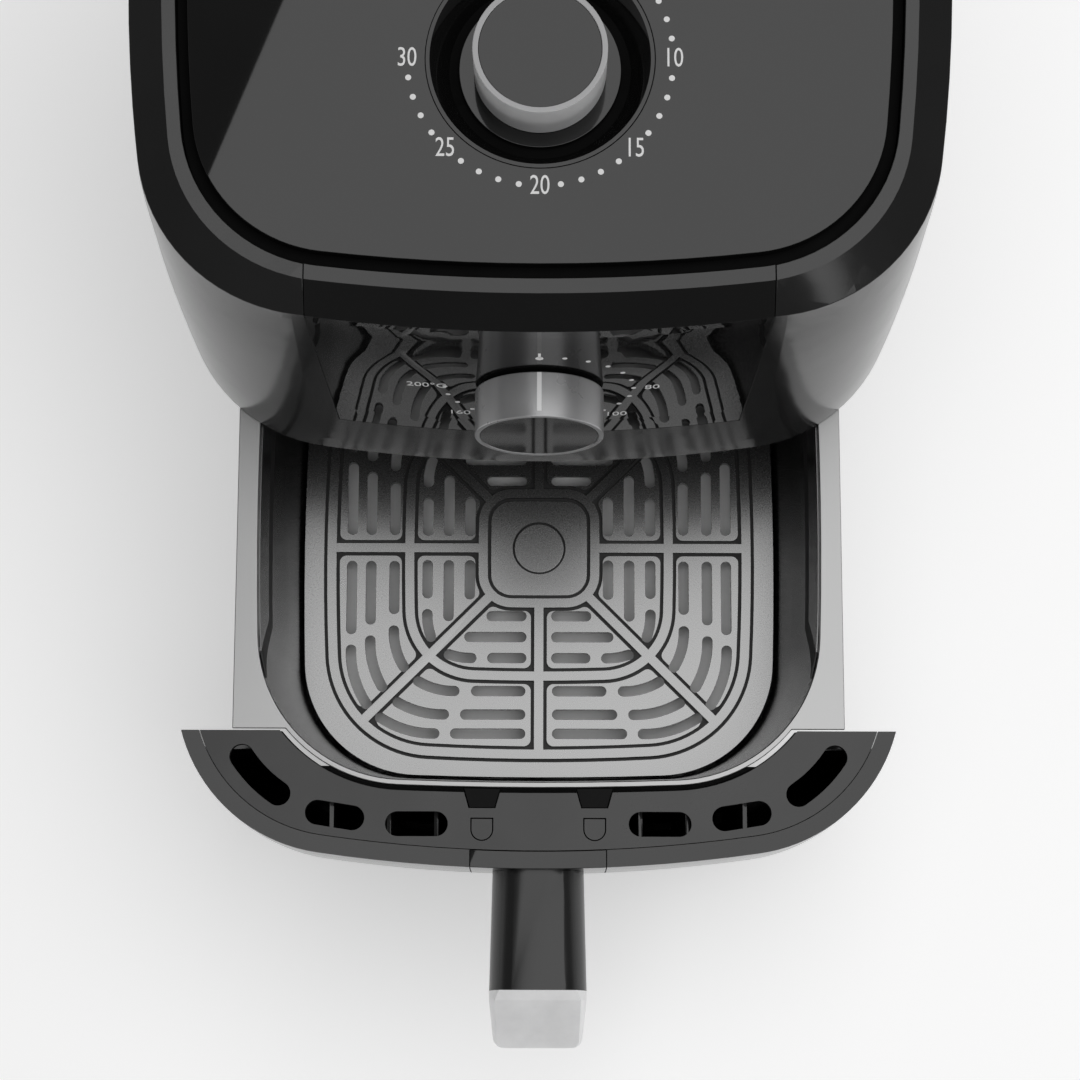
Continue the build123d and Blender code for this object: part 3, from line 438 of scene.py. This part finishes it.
paint_faces(pieces["housing"], side_plastic, side_wall)
paint_faces(pieces["dial_cup"], painted_shade_black, cup_floor)
paint_faces(pieces["crisper_plate"], groove_shade, in_groove)
paint_faces(pieces["pan"], wall_coating_painted_shade, pan_wall)
paint_faces(pieces["pan"], floor_coating_painted_light, pan_floor)
paint_faces(pieces["timer_sleeve"], sleeve_painted_light, sleeve_side)


# ---- pressed strips on the pan's side walls ----
STRIP_TOP = PAN_RIM - 2.5 * MM
STRIP_LOW = PAN_RIM - 27 * MM
STRIP_SHADE_WIDE = 8 * MM
STRIP_PROUD = 0.8 * MM
STRIP_SUNK = 0.1 * MM
STRIP_CUTS = 12
STRIP_FRONT = PAN_MIDDLE.y - 76 * MM
STRIP_BACK = PAN_MIDDLE.y + 70 * MM


def strip_edge(face):
    """The dark band along a strip's foot and its slanted front end: painted shade."""
    drop = STRIP_TOP - face.center.z
    at_foot = face.center.z < STRIP_LOW + STRIP_SHADE_WIDE
    at_front = face.center.y < STRIP_FRONT + drop + STRIP_SHADE_WIDE
    return at_foot or at_front


def wall_strip(side):
    """A raised strip along one side wall, with a slanted front end, leaning with the wall."""
    long = STRIP_BACK - STRIP_FRONT
    bpy.ops.object.select_all(action="DESELECT")
    bpy.ops.mesh.primitive_plane_add(size=1, rotation=(math.pi / 2, 0, side * math.pi / 2))
    strip = bpy.context.object
    strip.scale = (long, STRIP_TOP - STRIP_LOW, 1)
    strip.location = (side * 0.1, (STRIP_FRONT + STRIP_BACK) / 2, (STRIP_TOP + STRIP_LOW) / 2)
    place_in_mesh(strip)
    bpy.ops.object.mode_set(mode="EDIT")
    bpy.ops.mesh.select_all(action="SELECT")
    bpy.ops.mesh.subdivide(number_cuts=STRIP_CUTS)
    bpy.ops.object.mode_set(mode="OBJECT")
    for vertex in strip.data.vertices:
        drop = STRIP_TOP - vertex.co.z
        nearness = 1 - (vertex.co.y - STRIP_FRONT) / long
        vertex.co.y += drop * nearness
    for vertex in strip.data.vertices:
        inside = Vector((0, vertex.co.y, vertex.co.z))
        _, wall, _, _ = pieces["pan"].ray_cast(inside, Vector((side, 0, 0)))
        vertex.co = wall + Vector((side * STRIP_SUNK, 0, 0))
    apply_modifier(strip, "SOLIDIFY", thickness=STRIP_PROUD, offset=-1.0)
    smooth_by_angle(strip)
    round_edges(strip, 0.2 * MM)
    strip.name = "wall_strip_right" if side > 0 else "wall_strip_left"
    strip.data.materials.append(wall_coating_painted_shade)
    # the strip's foot and front end get the near-black coating as painted shade
    paint_faces(strip, groove_shade, strip_edge)
    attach(strip, "drawer")
    return strip


wall_strip(1)
wall_strip(-1)


# ---- printed scales ----
def mark_piece(obj, name, body, material):
    obj.name = name
    obj.data.materials.clear()
    obj.data.materials.append(material)
    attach(obj, body)
    return obj


PRINT_DEEP = 0.08 * MM
PRINT_RISE = 0.03 * MM
CAPITAL_SHARE = 0.70        # a capital's height in the plain font, as a share of its size


def printed_dot(place, radius):
    bpy.ops.object.select_all(action="DESELECT")
    bpy.ops.mesh.primitive_cylinder_add(vertices=24, radius=radius, depth=PRINT_DEEP)
    dot = bpy.context.object
    dot.matrix_world = place
    place_in_mesh(dot)
    return dot


def printed_text(text, place, height, squeeze):
    bpy.ops.object.select_all(action="DESELECT")
    bpy.ops.object.text_add()
    label = bpy.context.object
    label.data.body = text
    label.data.align_x = "CENTER"
    label.data.align_y = "CENTER"
    label.data.size = height / CAPITAL_SHARE
    label.data.extrude = PRINT_DEEP / 2
    label.data.resolution_u = 4
    bpy.ops.object.convert(target="MESH")
    label = bpy.context.object
    label.matrix_world = place @ Matrix.Diagonal((squeeze, 1, 1, 1))
    place_in_mesh(label)
    return label


def join_marks(marks):
    select_only(*marks)
    bpy.ops.object.join()
    return bpy.context.object


def on_dial(centre_place, radius, degrees):
    """A place on a dial's face, clockwise from the top, with the text upright."""
    turn = math.radians(degrees)
    return centre_place @ Matrix.Translation((radius * math.sin(turn), radius * math.cos(turn), 0))


TIMER_MINUTES = 30
TIMER_STEP = 9.0            # degrees a minute
TIMER_SCALE_R = 48.2 * MM


def timer_scale():
    face = Matrix.Translation(TIMER_CENTRE + Vector((0, 0, PRINT_RISE)))
    marks = []
    for minute in range(TIMER_MINUTES + 1):
        place = on_dial(face, TIMER_SCALE_R, minute * TIMER_STEP)
        if minute % 5:
            marks.append(printed_dot(place, 1.1 * MM))
        else:
            marks.append(printed_text(str(minute), place, 7.2 * MM, 0.72))
    mark_piece(join_marks(marks), "timer_scale", "body", printed_white)


TEMP_STEP = 15.1            # degrees between dots
TEMP_DOTS = 18
TEMP_SCALE_R = 35.7 * MM
TEMP_LABELS = {6: "80", 9: "100", 12: "130", 15: "160", 18: "200°C"}


def temp_face(radius, degrees):
    """A place on the control panel's own bowed face, clockwise from the top of the dial."""
    turn = joint("temp_turn")
    centre = Vector(turn["pos_m"])
    out = -Vector(turn["axis"]).normalized()
    right = Vector((1, 0, 0))
    up = out.cross(right)
    angle = math.radians(degrees)
    aim = centre + right * radius * math.sin(angle) + up * radius * math.cos(angle)
    panel = pieces["control_panel"]
    hit, point, normal, _ = panel.ray_cast(aim + out * 50 * MM, -out)
    if not hit:
        raise ValueError("the printed scale runs off the control panel")
    side = Vector((1, 0, 0)) - normal * normal.x
    side.normalize()
    rise = normal.cross(side)
    turned = Matrix((side, rise, normal)).transposed().to_4x4()
    return Matrix.Translation(point + normal * PRINT_RISE) @ turned


def temp_scale():
    marks = []
    for step in range(1, TEMP_DOTS + 1):
        marks.append(printed_dot(temp_face(TEMP_SCALE_R, step * TEMP_STEP), 0.95 * MM))
    for step, text in TEMP_LABELS.items():
        place = temp_face(TEMP_SCALE_R + 7.0 * MM, step * TEMP_STEP)
        marks.append(printed_text(text, place, 4.6 * MM, 0.9))
    marks.append(printed_text("I", temp_face(TEMP_SCALE_R + 1.5 * MM, 0), 4.4 * MM, 1.6))
    marks.append(printed_dot(temp_face(TEMP_SCALE_R - 1.2 * MM, 0), 1.5 * MM))
    mark_piece(join_marks(marks), "temperature_scale", "body", printed_white)


timer_scale()
temp_scale()


# ---- stage ----
FLOOR_HALF = 6.0
FLOOR_DROP = 0.5 * MM
SOFTBOX_SIDE = 2.6
SOFTBOX_PLACE = (0.765, BODY_CENTRE_Y - 0.17, 2.2)
SOFTBOX_TURN = -21          # degrees
SOFTBOX_WATTS = 36.0
SKY_HORIZON = 0.75
SKY_TOP = 0.12
CAMERA_PLACE = (0.0004, BODY_CENTRE_Y - 0.4097, 1.2617)
CAMERA_TILT = 11            # degrees from straight down
CAMERA_ROLL = 0.15
CAMERA_LENS = 93.3


def make_floor():
    bpy.ops.object.select_all(action="DESELECT")
    bpy.ops.mesh.primitive_plane_add(size=2 * FLOOR_HALF, location=(0, 0, -FLOOR_DROP))
    floor = bpy.context.object
    floor.name = "floor"
    place_in_mesh(floor)
    material, tree, shader = new_material("pale_floor")
    shader.inputs["Base Color"].default_value = (0.88, 0.88, 0.88, 1)
    shader.inputs["Roughness"].default_value = 0.9
    shader.inputs["Specular IOR Level"].default_value = 0.1
    shader.inputs["Emission Color"].default_value = (1, 1, 1, 1)
    shader.inputs["Emission Strength"].default_value = 0.4
    floor.data.materials.append(material)


def make_softbox():
    light = bpy.data.lights.new("softbox", "AREA")
    light.shape = "RECTANGLE"
    light.size = SOFTBOX_SIDE
    light.size_y = SOFTBOX_SIDE
    light.energy = SOFTBOX_WATTS
    lamp = bpy.data.objects.new("softbox", light)
    lamp.location = SOFTBOX_PLACE
    lamp.rotation_euler = (0, 0, math.radians(SOFTBOX_TURN))
    bpy.context.scene.collection.objects.link(lamp)


def make_world():
    world = bpy.data.worlds.new("studio")
    world.use_nodes = True
    tree = world.node_tree
    background = tree.nodes["Background"]
    coordinates = tree.nodes.new("ShaderNodeTexCoord")
    split = tree.nodes.new("ShaderNodeSeparateXYZ")
    tree.links.new(coordinates.outputs["Generated"], split.inputs[0])
    strength = ramp(tree, split.outputs["Z"], SKY_HORIZON, SKY_TOP, 0.1, 0.3)
    tree.links.new(strength, background.inputs["Strength"])
    background.inputs["Color"].default_value = (1, 1, 1, 1)
    bpy.context.scene.world = world


def make_camera():
    data = bpy.data.cameras.new("camera")
    data.sensor_width = 36
    data.lens = CAMERA_LENS
    camera = bpy.data.objects.new("camera", data)
    place = Matrix.Translation(CAMERA_PLACE)
    tilt = Matrix.Rotation(math.radians(CAMERA_TILT), 4, "X")
    roll = Matrix.Rotation(math.radians(CAMERA_ROLL), 4, "Z")
    camera.matrix_world = place @ tilt @ roll
    bpy.context.scene.collection.objects.link(camera)
    bpy.context.scene.camera = camera


make_floor()
make_softbox()
make_world()
make_camera()
bpy.context.scene.view_settings.view_transform = "Standard"
